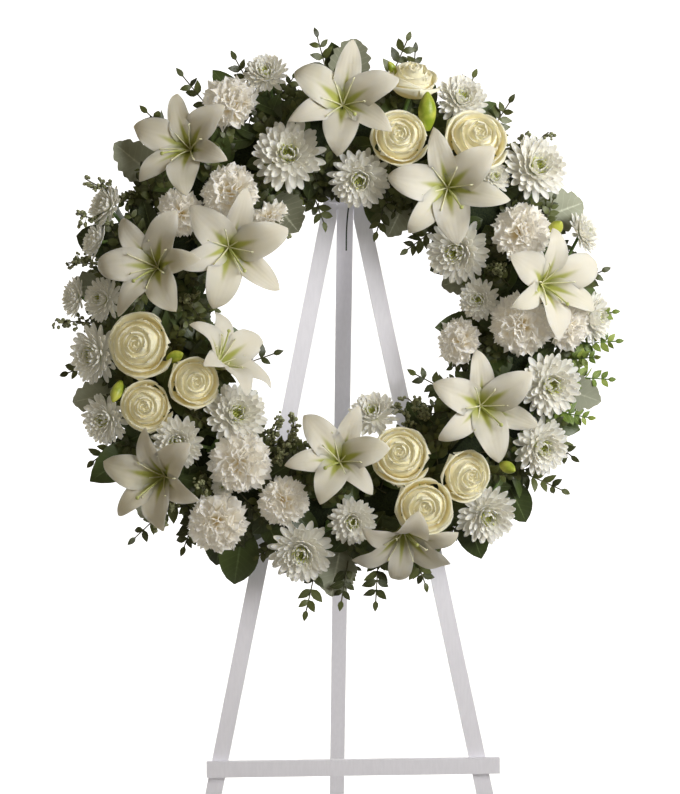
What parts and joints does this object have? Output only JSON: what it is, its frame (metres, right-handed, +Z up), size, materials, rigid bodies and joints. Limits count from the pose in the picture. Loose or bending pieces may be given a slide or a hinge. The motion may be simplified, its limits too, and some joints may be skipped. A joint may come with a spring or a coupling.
{
  "type": "funeral wreath",
  "caption": "Round wreath of white and cream flowers with mixed greenery, hung on a folding white wooden easel for a memorial display.",
  "frame": {"origin": "on the floor, under the middle of the whole object's box", "axes": "+Z up, the flowers face -Y, +X is the right-hand side seen from the front, and the rear leg stands out towards +Y"},
  "size_m": [0.6826, 0.5754, 1.3777],
  "materials": {
    "painted_wood": "white satin paint over softwood",
    "zinc_steel": "zinc-plated steel",
    "tray_plastic": "dark green moulded plastic",
    "floral_foam": "wet green foam, open and crumbly",
    "wire_paint": "green lacquered wire",
    "lily_petals": "ivory lily petals with a green throat",
    "rose_petals": "cream rose petals, yellower inside",
    "carnation_petals": "fringed white carnation petals",
    "mum_petals": "white chrysanthemum petals round a green eye",
    "foliage": "mixed green and silver-grey leaves"
  },
  "bodies": {
    "frame": {"easel_left_leg": "painted_wood", "easel_right_leg": "painted_wood", "easel_crossbar": "painted_wood", "easel_head_plate": "painted_wood", "hanging_peg": "zinc_steel", "hinge_bolt": "zinc_steel", "hinge_wing_nut": "zinc_steel", "foam_tray": "tray_plastic", "foam_ring": "floral_foam", "tie_wire": "wire_paint", "rose_top": "rose_petals", "rose_upper_right_inner": "rose_petals", "rose_upper_right_outer": "rose_petals", "rose_left": "rose_petals", "rose_left_inner": "rose_petals", "rose_left_low": "rose_petals", "rose_bottom_inner": "rose_petals", "rose_bottom_outer": "rose_petals", "rose_bottom_right": "rose_petals", "lily_top": "lily_petals", "lily_upper_left": "lily_petals", "lily_left": "lily_petals", "lily_inner_left": "lily_petals", "lily_inner_low_left": "lily_petals", "lily_lower_left": "lily_petals", "lily_bottom": "lily_petals", "lily_bottom_outer": "lily_petals", "lily_lower_right": "lily_petals", "lily_right": "lily_petals", "lily_upper_right": "lily_petals", "carnation_top_left": "carnation_petals", "carnation_left_high": "carnation_petals", "carnation_left_shaded": "carnation_petals", "carnation_left_inner": "carnation_petals", "carnation_right_high": "carnation_petals", "carnation_right": "carnation_petals", "carnation_right_inner": "carnation_petals", "carnation_right_outer": "carnation_petals", "carnation_low_left": "carnation_petals", "carnation_bottom_left": "carnation_petals", "carnation_bottom": "carnation_petals", "mum_top_inner": "mum_petals", "mum_top_middle": "mum_petals", "mum_top_outer": "mum_petals", "mum_spray_upper_right": "mum_petals", "mum_spray_right_inner": "mum_petals", "mum_spray_right_outer": "mum_petals", "mum_spray_lower_right": "mum_petals", "mum_inner_bottom": "mum_petals", "mum_spray_bottom": "mum_petals", "mum_spray_lower_left": "mum_petals", "mum_spray_left_low": "mum_petals", "mum_spray_left": "mum_petals", "mum_spray_left_high": "mum_petals", "greenery_1": "foliage", "greenery_2": "foliage", "greenery_3": "foliage", "greenery_4": "foliage", "greenery_5": "foliage"},
    "rear_leg": {"easel_rear_leg": "painted_wood"}
  },
  "joints": [
    {"name": "rear_leg_fold", "type": "hinge", "parent": "frame", "child": "rear_leg", "pos_m": [0.01312, -0.07566, 1.16792], "axis": [1, 0, 0], "range_deg": [-27, 0]}
  ]
}
